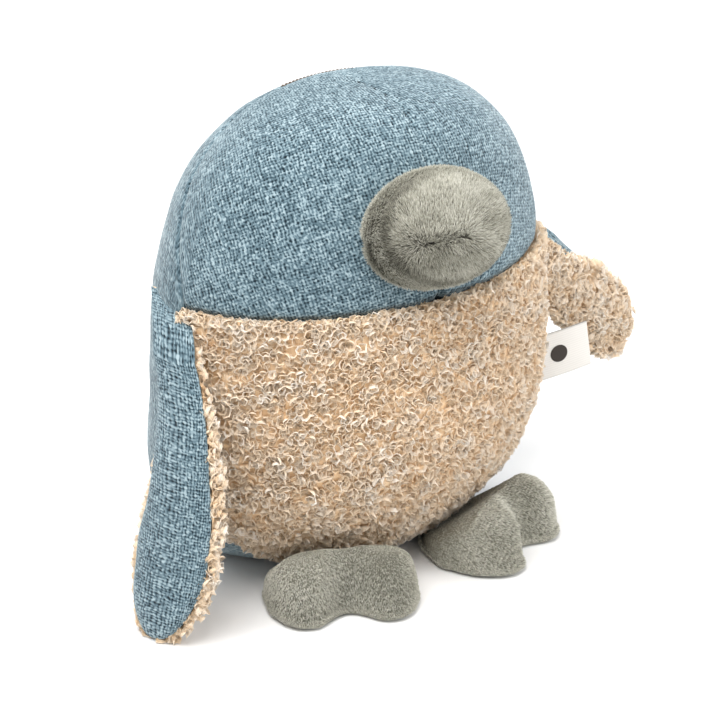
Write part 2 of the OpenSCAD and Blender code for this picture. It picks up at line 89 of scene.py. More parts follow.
def ease(k):
    k = np.clip(k, 0, 1)
    return k * k * (3 - 2 * k)


# ---- repeatable unevenness ----


def scatter(*keys):
    """A number from 0 to 1 that depends only on whole numbers, the same on every run."""
    mixed = sum(np.asarray(k, float) * m for k, m in zip(keys, (127.1, 311.7, 74.7, 219.3)))
    return np.modf(np.abs(np.sin(mixed + 0.5) * 43758.5453))[0]


def drift_noise(x, y, z=0.0, seed=0):
    """Smooth unevenness from -1 to 1, whose bumps are about one unit across."""
    x, y, z = np.broadcast_arrays(x, y, z)
    ix, iy, iz = np.floor(x), np.floor(y), np.floor(z)
    ease = [f * f * (3 - 2 * f) for f in (x - ix, y - iy, z - iz)]
    total = 0
    for corner in range(8):
        step = [corner & 1, corner >> 1 & 1, corner >> 2 & 1]
        share = 1
        for s, e in zip(step, ease):
            share = share * (e if s else 1 - e)
        total = total + share * scatter(ix + step[0], iy + step[1], iz + step[2], seed)
    return total * 2 - 1


# ---- the body's outer surface ----


def square_at(s):
    return np.where(s < 0, BOTTOM_SQUARE, CROWN_SQUARE)


def reach(s):
    return np.abs(np.cos(np.radians(s))) ** (2 / square_at(s))


def rise(s):
    return np.abs(np.sin(np.radians(s))) ** (2 / square_at(s))


def height(s):
    return WAIST_Z + np.where(s < 0, -LOW_H, TOP_H) * rise(s)


def level(z):
    z = np.asarray(z, float)
    share = np.where(z < WAIST_Z, (WAIST_Z - z) / LOW_H, (z - WAIST_Z) / TOP_H)
    angle = np.degrees(np.arcsin(np.clip(share, 0, 1) ** (square_at(z - WAIST_Z) / 2)))
    return np.where(z < WAIST_Z, -angle, angle)


def middle(s):
    """Where the middle of the body lies at a level: the bottom lies back, the crown forward."""
    r = rise(s) ** 2
    return np.where(s < 0, 0, CROWN_LEFT * r), np.where(s < 0, BOTTOM_BACK * r, -CROWN_FORWARD * r)


def body_normal(a, s):
    n = square_at(s)
    k = np.maximum(reach(s), 0.001) ** (n - 1)
    gx = k * np.sin(np.radians(a)) / (BODY_W / 2)
    gy = -k * np.cos(np.radians(a)) / (BODY_D / 2)
    half = np.where(s < 0, -LOW_H, TOP_H)
    gz = rise(s) ** (n - 1) / half
    lean_x = 2 * rise(s) * np.where(s < 0, 0, CROWN_LEFT) / np.abs(half)
    lean_y = 2 * rise(s) * np.where(s < 0, -BOTTOM_BACK, -CROWN_FORWARD) / np.abs(half)
    return unit(stacked(gx, gy, gz - gx * lean_x - gy * lean_y))


def body_point(a, s, off=0.0):
    mx, my = middle(s)
    p = stacked(
        mx + BODY_W / 2 * reach(s) * np.sin(np.radians(a)),
        my - BODY_D / 2 * reach(s) * np.cos(np.radians(a)),
        height(s),
    )
    return p + np.asarray(off)[..., None] * body_normal(a, s)


TURN_TABLE = np.linspace(-360, 360, 2881)
TURN_STEP = np.hypot(
    BODY_W / 2 * np.cos(np.radians(TURN_TABLE)), BODY_D / 2 * np.sin(np.radians(TURN_TABLE))
)
TURN_LENGTH = np.cumsum(TURN_STEP) * math.radians(TURN_TABLE[1] - TURN_TABLE[0])


def around(a, s, a_from):
    """Distance along the cloth from turn a_from to turn a, at a level."""
    return reach(s) * (
        np.interp(a, TURN_TABLE, TURN_LENGTH) - np.interp(a_from, TURN_TABLE, TURN_LENGTH)
    )


def neck_level(a):
    bend = (np.abs(a) / SIDE_SEAM) ** 2
    return level(BIB_NECK_Z + (BIB_CORNER_Z - BIB_NECK_Z) * bend)


def low_level(a):
    bend = (np.abs(a) / SIDE_SEAM) ** 3
    return level(BIB_LOW_Z + (BIB_SIDE_Z - BIB_LOW_Z) * bend)


def crown_seam_level(a):
    """Level of the seam that runs from a bib corner up and over the back of the crown."""
    a = np.abs(np.asarray(a, float))
    lo = np.full(a.shape, float(level(BIB_CORNER_Z)))
    hi = np.full(a.shape, CROWN_LEVEL)
    start = body_point(SIDE_SEAM, level(BIB_CORNER_Z))
    for _ in range(24):
        mid = (lo + hi) / 2
        p = body_point(a, mid)
        inside = p[..., 1] > start[1] + SEAM_BACK * (p[..., 2] - start[2])
        lo, hi = np.where(inside, mid, lo), np.where(inside, hi, mid)
    return lo


# ---- meshes ----


def grid_faces(n, m, wrap=False):
    """Quads of a grid of n by m points. wrap joins the last row to the first."""
    i, j = np.meshgrid(np.arange(n if wrap else n - 1), np.arange(m - 1), indexing="ij")
    a, b = i * m + j, (i + 1) % n * m + j
    return np.stack([a, b, b + 1, a + 1], axis=-1).reshape(-1, 4)


def grid_uv(n, m):
    """Texture places of a grid of n by m points."""
    return stacked(np.linspace(0, 1, n)[:, None], np.linspace(0, 1, m)[None, :])


def even(n, m, tone):
    """The same tone all over a grid of n by m points."""
    return {"tone": np.full((n, m), tone), "tint": np.full((n, m), 0.5)}


def piece(name, points, faces, material, body, nodes, tones=None, uv=None, bend=None):
    """One object of the model. tones is a dict of values per point, and uv a place per point."""
    mesh = bpy.data.meshes.new(name)
    points = np.asarray(points, float).reshape(-1, 3)
    faces = np.asarray(faces)
    mesh.vertices.add(len(points))
    mesh.vertices.foreach_set("co", (points * MM).astype(np.float32).ravel())
    mesh.loops.add(faces.size)
    mesh.loops.foreach_set("vertex_index", faces.astype(np.int32).ravel())
    mesh.polygons.add(len(faces))
    mesh.polygons.foreach_set("loop_start", np.arange(0, faces.size, faces.shape[1], dtype=np.int32))
    mesh.update(calc_edges=True)
    mesh.polygons.foreach_set("use_smooth", np.ones(len(faces), bool))
    for key, values in (tones or {}).items():
        layer = mesh.attributes.new(key, "FLOAT", "POINT")
        layer.data.foreach_set("value", np.asarray(values, np.float32).ravel())
    if uv is not None:
        layer = mesh.uv_layers.new(name="OFBake")
        layer.data.foreach_set("uv", np.asarray(uv, np.float32).reshape(-1, 2)[faces.ravel()].ravel())
    mesh.materials.append(material)
    ob = bpy.data.objects.new(name, mesh)
    bpy.context.scene.collection.objects.link(ob)
    if bend:
        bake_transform(ob)
    else:
        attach(ob, body)
    if nodes:
        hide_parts(*nodes)
    return ob


# ---- materials ----


def colour(code):
    """An sRGB hex colour as linear red, green, blue and 1."""
    parts = [int(code[k : k + 2], 16) / 255 for k in (1, 3, 5)]
    return [c / 12.92 if c <= 0.04045 else ((c + 0.055) / 1.055) ** 2.4 for c in parts] + [1]


def add(tree, kind, inputs=None, **settings):
    """Adds a node. A value that is a socket is linked, and any other value is set."""
    node = tree.nodes.new(kind)
    for key, value in settings.items():
        setattr(node, key, value)
    for key, value in (inputs or {}).items():
        if isinstance(value, bpy.types.NodeSocket):
            tree.links.new(value, node.inputs[key])
        else:
            node.inputs[key].default_value = value
    return node


def ramp(tree, factor, stops):
    node = add(tree, "ShaderNodeValToRGB", {"Fac": factor})
    band = node.color_ramp
    while len(band.elements) < len(stops):
        band.elements.new(0.5)
    for element, (place, code) in zip(band.elements, stops):
        element.position, element.color = place, colour(code)
    return node.outputs["Color"]


def fabric(name, stops, tint, grain, bump, roughness=0.85, sheen=0.3, sheen_colour="#ffffff"):
    """Cloth coloured from root to tip and over its relief (tone, which carries painted light and shade) and
    unevenly from thread to thread (tint).
    """
    material = bpy.data.materials.new(name)
    material.use_nodes = True
    tree = material.node_tree
    tree.nodes.clear()
    tone = add(tree, "ShaderNodeAttribute", attribute_name="tone").outputs["Fac"]
    own = add(tree, "ShaderNodeAttribute", attribute_name="tint").outputs["Fac"]
    place = add(tree, "ShaderNodeTexCoord").outputs["Object"]
    cloudy = add(tree, "ShaderNodeTexNoise", {"Vector": place, "Scale": 45, "Detail": 3})
    shade = add(tree, "ShaderNodeMath", {0: cloudy.outputs["Fac"], 1: 0.2, 2: -0.1}, operation="MULTIPLY_ADD")
    spread = add(tree, "ShaderNodeMath", {0: own, 1: tint, 2: -tint / 2}, operation="MULTIPLY_ADD")
    sum_ = add(tree, "ShaderNodeMath", {0: shade.outputs[0], 1: spread.outputs[0]}, operation="ADD")
    level_ = add(tree, "ShaderNodeMath", {0: tone, 1: sum_.outputs[0]}, operation="ADD", use_clamp=True)
    fine = add(tree, "ShaderNodeTexNoise", {"Vector": place, "Scale": grain, "Detail": 4, "Roughness": 0.65})
    height_ = fine.outputs["Fac"]
    relief = add(tree, "ShaderNodeBump", {"Height": height_, "Distance": bump * MM, "Strength": 0.6})
    shader = add(
        tree,
        "ShaderNodeBsdfPrincipled",
        {
            "Base Color": ramp(tree, level_.outputs[0], stops),
            "Roughness": roughness,
            "Specular IOR Level": 0.15,
            "Sheen Weight": sheen,
            "Sheen Roughness": 0.5,
            "Sheen Tint": colour(sheen_colour),
            "Normal": relief.outputs["Normal"],
        },
    )
    add(tree, "ShaderNodeOutputMaterial", {"Surface": shader.outputs["BSDF"]})
    return material


# Heather yarn, woven in pairs: pale nubs, and painted shade darkening the gaps where the yarns cross.
WEAVE = fabric(
    "heather_weave",
    [(0.0, "#08121a"), (0.25, "#22343d"), (0.5, "#455a64"), (0.75, "#687f89"), (1.0, "#a6b9c0")],
    0.26, 2600, 0.25, sheen=0.32,
)
# Polyester sherpa: a knitted backing from which curled locks stand, with painted shade darkening them towards
# their roots.
SHERPA = fabric(
    "sherpa_curls",
    [(0.0, "#c6986a"), (0.3, "#e3bd90"), (0.6, "#f6dcba"), (0.85, "#fdecd6"), (1.0, "#fff8ee")],
    0.2, 3200, 0.12, roughness=0.7, sheen=0.35, sheen_colour="#fff0d8",
)
# Dense cut pile on the beak and feet, grey-green with a silvery tip; painted shade darkens each strand towards
# its root.
PILE_STOPS = {
    "beak": [(0.0, "#2b2a21"), (0.3, "#646257"), (0.65, "#a9a798"), (1.0, "#dbd9ce")],
    "foot": [(0.0, "#45443a"), (0.3, "#8a887b"), (0.65, "#cfcdbe"), (1.0, "#f6f4ec")],
}
PLUSH = {
    part: fabric(f"cut_pile_{part}", stops, 0.42, 3800, 0.12, roughness=0.75, sheen_colour="#f0eee4")
    for part, stops in PILE_STOPS.items()
}


# ---- the weave ----

YARN_APART = 1.45
YARN_PROUD = 0.55


def weave_relief(p, q, seed):
    """Height and shade of a plain weave of uneven yarns at cloth coordinates p, q."""
    for size, share in ((11, 0.6), (3.4, 0.32), (1.2, 0.22)):
        shift = drift_noise(p / size, q / size, seed=seed), drift_noise(p / size, q / size, seed=seed + 1)
        p, q = p + share * shift[0], q + share * shift[1]
    p, q = p / YARN_APART, q / YARN_APART * 1.08
    col, row = np.floor(p), np.floor(q)
    fp, fq = p - col - 0.5, q - row - 0.5
    over = (col + row) % 2 == 0
    across, along = np.where(over, fq, fp), np.where(over, fp, fq)
    thin = 0.7 + 0.6 * scatter(np.where(over, row, col), np.floor(np.where(over, col, row) / 3), seed)
    height_ = 1 - 0.5 * thin * np.abs(across / 0.5) ** 2.6 - 0.3 * np.abs(along / 0.5) ** 5
    corner = np.hypot(np.abs(fp) - 0.5, np.abs(fq) - 0.5)
    corner_no = np.round(p), np.round(q)
    deep = scatter(*corner_no, seed + 3)
    hole = np.exp(-((corner / (0.17 + 0.13 * deep)) ** 2)) * np.clip(deep * 1.5 - 0.25, 0, 1)
    ply = drift_noise(p / 0.42, q / 0.42, seed=seed + 5)
    chance = 0.7 * scatter(np.where(over, row, col), np.floor(np.where(over, col, row) / 4), seed + 7)
    chance = chance + 0.3 * scatter(col, row, seed)
    return np.clip(height_ - 0.9 * hole + 0.38 * ply, 0, 1), chance


def laid_flat(points, centre, normals, middle_normal):
    """Where points of a curved panel lie when it is laid flat round its centre."""
    side = unit(np.cross([0.0, 0.0, 1.0], middle_normal))
    up = np.cross(middle_normal, side)
    step = points - centre
    half_angle = np.arccos(np.clip((normals * middle_normal).sum(-1), -1, 1)) / 2
    far = np.linalg.norm(step, axis=-1) * half_angle / np.maximum(np.sin(half_angle), 1e-4)
    x, y = (step * side).sum(-1), (step * up).sum(-1)
    scale = far / np.maximum(np.hypot(x, y), 1e-6)
    return x * scale, y * scale


def seam_dip(distance, along, seed):
    """Cloth sinks into a seam, and puckers a little beside it."""
    dip = -1.7 * np.exp(-((distance / 2.0) ** 2)) - 0.7 * np.exp(-distance / 6)
    pucker = 0.35 * np.exp(-distance / 7) * drift_noise(along / 4.5, distance / 14, seed=seed)
    return dip + pucker


def body_lumps(p):
    """Slight unevenness of the filling below the cloth."""
    return 0.9 * drift_noise(p[..., 0] / 38, p[..., 1] / 38, p[..., 2] / 30, seed=5) + 0.4 * drift_noise(
        p[..., 0] / 15, p[..., 1] / 15, p[..., 2] / 13, seed=6
    )


def body_grid(a0, a1, low, high, cell):
    """Turns and levels of an evenly spaced grid of cloth points, with their distance up the cloth."""
    widest = abs(float(around(a1, 0.0, a0)))
    turns = np.linspace(a0, a1, max(8, round(widest / cell)) + 1)
    fine = np.linspace(-89.9, 89.9, 900)
    ups = []
    for a in turns:
        steps = np.linalg.norm(np.diff(body_point(a, fine), axis=0), axis=1)
        ups.append(np.concatenate([[0], np.cumsum(steps)]))
    lows, highs = low(turns) + 0 * turns, high(turns) + 0 * turns
    first = np.array([np.interp(s, fine, up) for s, up in zip(lows, ups)])
    last = np.array([np.interp(s, fine, up) for s, up in zip(highs, ups)])
    rows = max(8, round(float((last - first).max()) / cell)) + 1
    up = first[:, None] + (last - first)[:, None] * np.linspace(0, 1, rows)[None, :]
    s = np.array([np.interp(row, column, fine) for row, column in zip(up, ups)])
    return turns[:, None] + 0 * s, s, up


def panel(name, nodes, a0, a1, low, high, centre, grain, seams, seed, cell=0.5):
    """A panel of woven cloth on the body. seams says which of its four sides are sewn."""
    a, s, up = body_grid(a0, a1, low, high, cell)
    u = around(a, s, a0)
    base, normal = body_point(a, s), body_normal(a, s)
    x, y = laid_flat(base, body_point(*centre), normal, body_normal(*centre))
    t = math.radians(grain)
    nub, chance = weave_relief(x * math.cos(t) + y * math.sin(t), y * math.cos(t) - x * math.sin(t), seed)
    off = body_lumps(base) + YARN_PROUD * (nub - 0.8)
    edges = {
        "start": (np.abs(around(a, s, a0)), up),
        "end": (np.abs(around(a, s, a1)), up),
        "low": (up - up[:, :1], u),
        "high": (up[:, -1:] - up, u),
    }
    for side, (distance, along) in edges.items():
        if side in seams:
            # The centre seam lies flatter over the face than below the beak.
            flat = 0.75 * ease((base[..., 2] - BEAK_Z) / 15) if side == "start" and "front" in name else 0
            off = off + seam_dip(distance, along, seed + 20) * (1 - flat)
    points = base + off[..., None] * normal
    points[..., 2] = np.maximum(points[..., 2], 0)
    n, m = a.shape
    uv = grid_uv(n, m)
    # The tone follows the yarn height: the dark gaps are painted shade.
    return piece(
        name, points, grid_faces(n, m), WEAVE, "torso", nodes,
        tones={"tone": 0.06 + 0.86 * nub, "tint": chance}, uv=uv,
    )


def to_crown(a):
    return CROWN_LEVEL + 0 * a


def to_base(a):
    return level(0.0) + 0 * a


def front_low(a):
    """Lower edge of a front panel: the neckline, then the seam over the crown."""
    return np.where(np.abs(a) <= SIDE_SEAM, neck_level(a), crown_seam_level(a))


def body_panels():
    for side, word in ((RIGHT, "right"), (LEFT, "left")):
        panel(f"front_panel_{word}_cloth", [f"front_panel_{word}"], side * 0.0, side * 180.0,
              front_low, to_crown, (side * 45.0, 35.0), side * -18, ("start", "low"), 100 + side)
        panel(f"back_panel_{word}_cloth", [f"back_panel_{word}"], side * SIDE_SEAM, side * 180.0,
              to_base, crown_seam_level, (side * 130.0, 0.0), side * 8, ("start", "end", "high"),
              200 + side, cell=0.6)
    panel("under_panel_cloth", ["under_panel", "body_fill"], -SIDE_SEAM, SIDE_SEAM, to_base, low_level,
          (0.0, float(level(3.0))), 0, ("start", "end", "high"), 300, cell=0.6)


def base_panel():
    """The flat oval of cloth the toy stands on, its yarns just off the floor."""
    cell = 0.6
    s = float(level(0.0))
    half_w, half_d = BODY_W / 2 * float(reach(s)), BODY_D / 2 * float(reach(s))
    n, m = round(2 * half_w / cell) + 1, round(2 * half_d / cell) + 1
    u, v = np.meshgrid(np.linspace(-1, 1, n), np.linspace(-1, 1, m), indexing="ij")
    x, y = half_w * u * np.sqrt(1 - v**2 / 2), half_d * v * np.sqrt(1 - u**2 / 2)
    nub, chance = weave_relief(x, y, 400)
    share = np.hypot(x / half_w, y / half_d)
    turn = np.degrees(np.arctan2(x / half_w, -y / half_d))
    z = 0.05 + YARN_PROUD * (1 - nub) - seam_dip((1 - share) * half_d, around(turn, s, 0.0), 420)
    mx, my = middle(s)
    uv = grid_uv(n, m)
    # The tone follows the yarn height: the dark gaps are painted shade.
    piece("base_panel_cloth", stacked(mx + x, my + y, z), grid_faces(n, m)[:, ::-1], WEAVE, "torso",
          ["base_panel"], tones={"tone": 0.06 + 0.86 * nub, "tint": chance}, uv=uv)


# ---- sherpa ----


def tubes(paths, radii, across, lift, tones, tints, sides=3):
    """Closed tubes along many paths at once. Returns points, triangles, tones, tints and places."""
    count, steps = paths.shape[:2]
    turn = np.arange(sides) / sides * 2 * math.pi
    ring = (
        across[:, :, None, :] * np.cos(turn)[None, None, :, None]
        + lift[:, :, None, :] * np.sin(turn)[None, None, :, None]
    )
    points = paths[:, :, None, :] + ring * radii[:, :, None, None]
    points = points.reshape(count, steps * sides, 3)
    i, j = np.meshgrid(np.arange(steps - 1), np.arange(sides), indexing="ij")
    a, b = i * sides + j, i * sides + (j + 1) % sides
    walls = np.stack([np.stack([a, b, b + sides], -1), np.stack([a, b + sides, a + sides], -1)], 2)
    last = (steps - 1) * sides
    caps = [[0, k + 1, k] for k in range(1, sides - 1)]
    caps += [[last, last + k, last + k + 1] for k in range(1, sides - 1)]
    faces = np.concatenate([walls.reshape(-1, 3), np.array(caps)])
    faces = (faces[None] + (np.arange(count) * steps * sides)[:, None, None]).reshape(-1, 3)
    tone = np.repeat(tones[:, :, None], sides, 2).reshape(-1)
    tint = np.repeat(tints, steps * sides)
    edge = np.tile(np.arange(sides) / sides * 0.04, count * steps)
    uv = np.stack([0.02 + 0.9 * tint + edge, 0.03 + 0.94 * tone], -1)
    return points.reshape(-1, 3), faces, tone, tint, uv


TRIANGLES_A_PIECE = 190000
STRAND_TRIANGLES = 12
LOCK_STEPS = 7
LOCK_STRANDS = 7
STRAND_APART = 0.257
STRAND_R = 0.12
FLOOR_CLEAR = 0.2


def locks(base, normal, seed, size=1.0, tall=3.2):
    """Curled locks, each a few strands side by side, standing on points of the backing."""
    rng = np.random.default_rng(seed)
    count = len(base)
    helper = unit(rng.normal(size=(count, 3)))
    flat = unit(np.cross(normal, helper))
    axis = unit(normal + rng.uniform(0.1, 0.95, (count, 1)) * flat)
    e1 = unit(np.cross(axis, helper))
    e2 = np.cross(axis, e1)
    t = np.linspace(0, 1, LOCK_STEPS)[None, :]
    turns = rng.uniform(0.75, 1.45, (count, 1)) * np.where(rng.random((count, 1)) < 0.5, 1, -1)
    angle = rng.uniform(0, 2 * math.pi, (count, 1)) + turns * 2 * math.pi * t
    wide = size * rng.uniform(1.4, 2.9, (count, 1)) * (1 - 0.45 * t)
    up = rng.uniform(0.7, 1.15, (count, 1)) * tall * np.sin(np.minimum(1, t * 1.5) * math.pi / 2)
    up = up - 0.9 * t * t
    middle_ = base[:, None, :] + up[..., None] * normal[:, None, :]
    swing = np.cos(angle)[..., None] * e1[:, None, :] + np.sin(angle)[..., None] * e2[:, None, :]
    path = middle_ + wide[..., None] * swing
    wander = drift_noise(path[..., 0], path[..., 1], path[..., 2], seed=seed)
    path += 0.25 * size * wander[..., None] * axis[:, None, :]
    tint = rng.random(count)
    # Locks lean together in clumps. Their tone is painted light and shade: lighter where they stand highest and
    # on top of a clump, darker down at the roots.
    clump = drift_noise(*(base / 6.0).T, seed=23)[:, None]
    path += 0.9 * clump[..., None] * normal[:, None, :]
    light = 0.5 + 0.36 * np.clip(up / tall, 0, 1) + 0.05 * np.sin(angle) + 0.12 * clump
    made = []
    for k in range(LOCK_STRANDS):
        shift = (k - (LOCK_STRANDS - 1) / 2) * STRAND_APART * size
        fan = shift * (1 + 0.25 * np.sin(t * 5 + k))
        lane = path + fan[..., None] * (0.8 * axis[:, None, :] + 0.5 * swing)
        # Locks at a wing tip rest on the floor and do not go through it.
        lane[..., 2] = np.maximum(lane[..., 2], FLOOR_CLEAR)
        along = unit(np.gradient(lane, axis=1))
        across = unit(np.cross(along, axis[:, None, :] + 0 * along))
        lift = np.cross(along, across)
        swell = np.sin(np.clip(t * 1.05, 0.05, 1) * math.pi) ** 0.5
        radius = size * STRAND_R * (0.45 + 0.55 * swell) + 0 * wide
        made.append(tubes(lane, radius, across, lift, light + 0.07 * math.sin(k * 2.4), tint))
    start = np.cumsum([0] + [len(m[0]) for m in made])
    return [
        np.concatenate([m[0] for m in made]),
        np.concatenate([m[1] + s for m, s in zip(made, start)]),
        *[np.concatenate([m[c] for m in made]) for c in (2, 3, 4)],
    ]


LOCKS_A_PIECE = TRIANGLES_A_PIECE // (LOCK_STRANDS * ((LOCK_STEPS - 1) * 6 + 2))


def curls(name, base, normal, body, seed, bend=None, size=1.0, tall=3.2):
    """Locks in as many pieces as keep each one light enough to handle."""
    order = np.argsort(np.round(base[:, 0] / 40) * 1000 + base[:, 2])
    parts = max(1, math.ceil(len(base) / LOCKS_A_PIECE))
    for k, some in enumerate(np.array_split(order, parts)):
        points, faces, tone, tint, uv = locks(base[some], normal[some], seed + k, size, tall)
        piece(f"{name}_curls_{k + 1}", points, faces, SHERPA, body, [],
              tones={"tone": tone, "tint": tint}, uv=uv, bend=bend)


def sherpa_relief(p, seed):
    lumps = drift_noise(p[..., 0] / 3.4, p[..., 1] / 3.4, p[..., 2] / 3.4, seed=seed)
    fine = drift_noise(p[..., 0] / 1.2, p[..., 1] / 1.2, p[..., 2] / 1.2, seed=seed + 1)
    return 0.7 * lumps + 0.3 * fine


BIB_THICK = 1.8
LOCK_APART = 2.25


def bib():
    """The curly front: a backing that rolls in at its edges, and locks all over it."""
    a, s, up = body_grid(-SIDE_SEAM, SIDE_SEAM, low_level, neck_level, 0.9)
    base = body_point(a, s)
    side = np.minimum(np.abs(around(a, s, -SIDE_SEAM)), np.abs(around(a, s, SIDE_SEAM)))
    end = np.minimum(up - up[:, :1], up[:, -1:] - up)
    edge = np.minimum(side, end)
    plump = 1 - np.exp(-((edge / 2.2) ** 2))
    relief = sherpa_relief(base, 31)
    off = body_lumps(base) - 2.2 + (BIB_THICK + 2.2) * plump + relief * plump
    n, m = a.shape
    uv = grid_uv(n, m)
    # The backing's tone follows its relief: painted light on the lumps, painted shade in the dips.
    piece("bib_cloth", base + off[..., None] * body_normal(a, s), grid_faces(n, m), SHERPA, "torso",
          ["bib"], tones={"tone": 0.42 + 0.14 * relief, "tint": 0.5 + 0 * relief}, uv=uv)
    rng = np.random.default_rng(41)
    ga, gs, gup = body_grid(-SIDE_SEAM + 1, SIDE_SEAM - 1, low_level, neck_level, LOCK_APART)
    jitter = rng.uniform(-0.5, 0.5, ga.shape + (2,))
    step_a, step_s = abs(ga[1, 0] - ga[0, 0]), np.gradient(gs, axis=1)
    # Rows grow shorter towards the crown and the base, so some of their points are left out.
    keep = rng.random(ga.shape) < np.clip(reach(gs) * np.gradient(gup, axis=1) / LOCK_APART, 0, 1)
    pa = (ga + jitter[..., 0] * step_a)[keep]
    ps = (gs + jitter[..., 1] * step_s)[keep]
    pa = np.clip(pa, -SIDE_SEAM + 0.6, SIDE_SEAM - 0.6)
    ps = np.clip(ps, low_level(pa) + 0.3, neck_level(pa) - 0.3)
    ea = np.linspace(-SIDE_SEAM + 1, SIDE_SEAM - 1, 150) + rng.uniform(-0.4, 0.4, 150)
    eb = np.full(90, float(SIDE_SEAM) - 0.4)
    es = level(rng.uniform(BIB_SIDE_Z + 2, BIB_CORNER_Z - 1, 90))
    for name, ra, rs, way in (("neck", ea, neck_level(ea) - 0.5, 1), ("low", ea, low_level(ea) + 0.5, -1)):
        at, normal = body_point(ra, rs), body_normal(ra, rs)
        up_ = unit(body_point(ra, rs + 0.5) - at)
        face = unit(normal + 0.75 * way * up_)
        curls(f"bib_{name}", at + body_lumps(at)[:, None] * normal - 0.9 * face, face, "torso", 560 + way)
    pa = np.concatenate([pa, -eb, eb])
    ps = np.concatenate([ps, es, es])
    at = body_point(pa, ps)
    normal = body_normal(pa, ps)
    curls("bib", at + (body_lumps(at) + BIB_THICK - 1.2)[:, None] * normal, normal, "torso", 500)


# ---- cut pile ----


def pile(name, base, normal, lean, length, width, body, seed, bend=None, shade=0.0):
    """Short straight strands that leave the surface along normal and lean over."""
    rng = np.random.default_rng(seed)
    count = len(base)
    per = TRIANGLES_A_PIECE // STRAND_TRIANGLES
    tint_all = rng.random(count)
    length = length * rng.uniform(0.75, 1.15, (count, 1))
    stray = rng.normal(size=(count, 3)) * 0.16
    out = unit(normal + lean + stray)
    over = unit(0.35 * normal + 1.35 * lean + stray)
    t = np.array([0.0, 0.5, 1.0])[None, :, None]
    bent = t * out[:, None] * (1 - 0.45 * t) + 0.45 * t * t * over[:, None]
    path = base[:, None] - 0.3 * normal[:, None] + length[:, None] * bent
    along = unit(np.gradient(path, axis=1))
    across = unit(np.cross(along, unit(rng.normal(size=(count, 3)))[:, None, :] + 0 * along))
    lift = np.cross(along, across)
    radius = width / 2 * np.array([1.0, 0.8, 0.12])[None, :] + np.zeros((count, 1))
    shade = np.reshape(shade + np.zeros(count), (-1, 1))
    # Each strand's tone darkens towards its root as painted shade; shade is added on top.
    tone = np.array([0.12, 0.55, 0.82])[None, :] + np.zeros((count, 1)) + shade
    for k, some in enumerate(np.array_split(np.arange(count), max(1, math.ceil(count / per)))):
        points, faces, tones, tints, uv = tubes(
            path[some], radius[some], across[some], lift[some], tone[some], tint_all[some])
        part = name[:4]
        piece(f"{name}_pile_{k + 1}", points, faces, PLUSH[part], body, [],
              tones={"tone": tones, "tint": tints}, uv=uv, bend=bend)


def on_grid(points, per_area, seed):
    """Random places over a grid of points, evenly by area, with normals and both tangents."""
    rng = np.random.default_rng(seed)
    d1 = points[1:, :-1] - points[:-1, :-1]
    d2 = points[:-1, 1:] - points[:-1, :-1]
    cross = np.cross(d1, d2)
    area = np.linalg.norm(cross, axis=-1)
    count = int(area.sum() * per_area)
    pick = rng.choice(area.size, size=count, p=(area / area.sum()).ravel())
    i, j = np.unravel_index(pick, area.shape)
    f, g = rng.random((2, count, 1))
    at = points[i, j] + f * d1[i, j] + g * d2[i, j]
    return at, unit(cross[i, j]), unit(d1[i, j]), unit(d2[i, j]), i, j


# ---- the beak ----

TILT, TURN = math.radians(BEAK_TILT), math.radians(BEAK_TURN)
BEAK_DIR = np.array([-math.sin(TURN) * math.cos(TILT), -math.cos(TURN) * math.cos(TILT), math.sin(TILT)])
BEAK_SIDE = np.array([math.cos(TURN), -math.sin(TURN), 0])
BEAK_UP = -np.cross(BEAK_SIDE, BEAK_DIR)
BEAK_FOOT = body_point(BEAK_ASIDE, level(BEAK_Z))


def beak_point(t, share, out):
    t, share, out = np.broadcast_arrays(np.radians(t), share, out)
    return (
        BEAK_FOOT
        + (share * BEAK_W / 2 * np.cos(t))[..., None] * BEAK_SIDE
        + (share * BEAK_H / 2 * np.sin(t))[..., None] * BEAK_UP
        + out[..., None] * BEAK_DIR
    )


def body_share(p):
    low = p[..., 2] < WAIST_Z
    q = np.minimum(1.5, np.abs(p[..., 2] - WAIST_Z) / np.where(low, LOW_H, TOP_H))
    cx = np.where(low, 0, CROWN_LEFT) * q * q
    cy = np.where(low, BOTTOM_BACK, -CROWN_FORWARD) * q * q
    n = np.where(low, BOTTOM_SQUARE, CROWN_SQUARE)
    r = np.hypot((p[..., 0] - cx) / (BODY_W / 2), (p[..., 1] - cy) / (BODY_D / 2))
    return r**n + q**n


def seat(t):
    """Distance along the beak at which its edge leaves the body."""
    lo, hi = np.full(np.shape(t), -40.0), np.full(np.shape(t), 12.0)
    for _ in range(24):
        mid = (lo + hi) / 2
        outside = body_share(beak_point(t, 1.0, mid)) > 1
        lo, hi = np.where(outside, lo, mid), np.where(outside, mid, hi)
    return hi


CREASE_LOW, CREASE_HALF = 5, 9


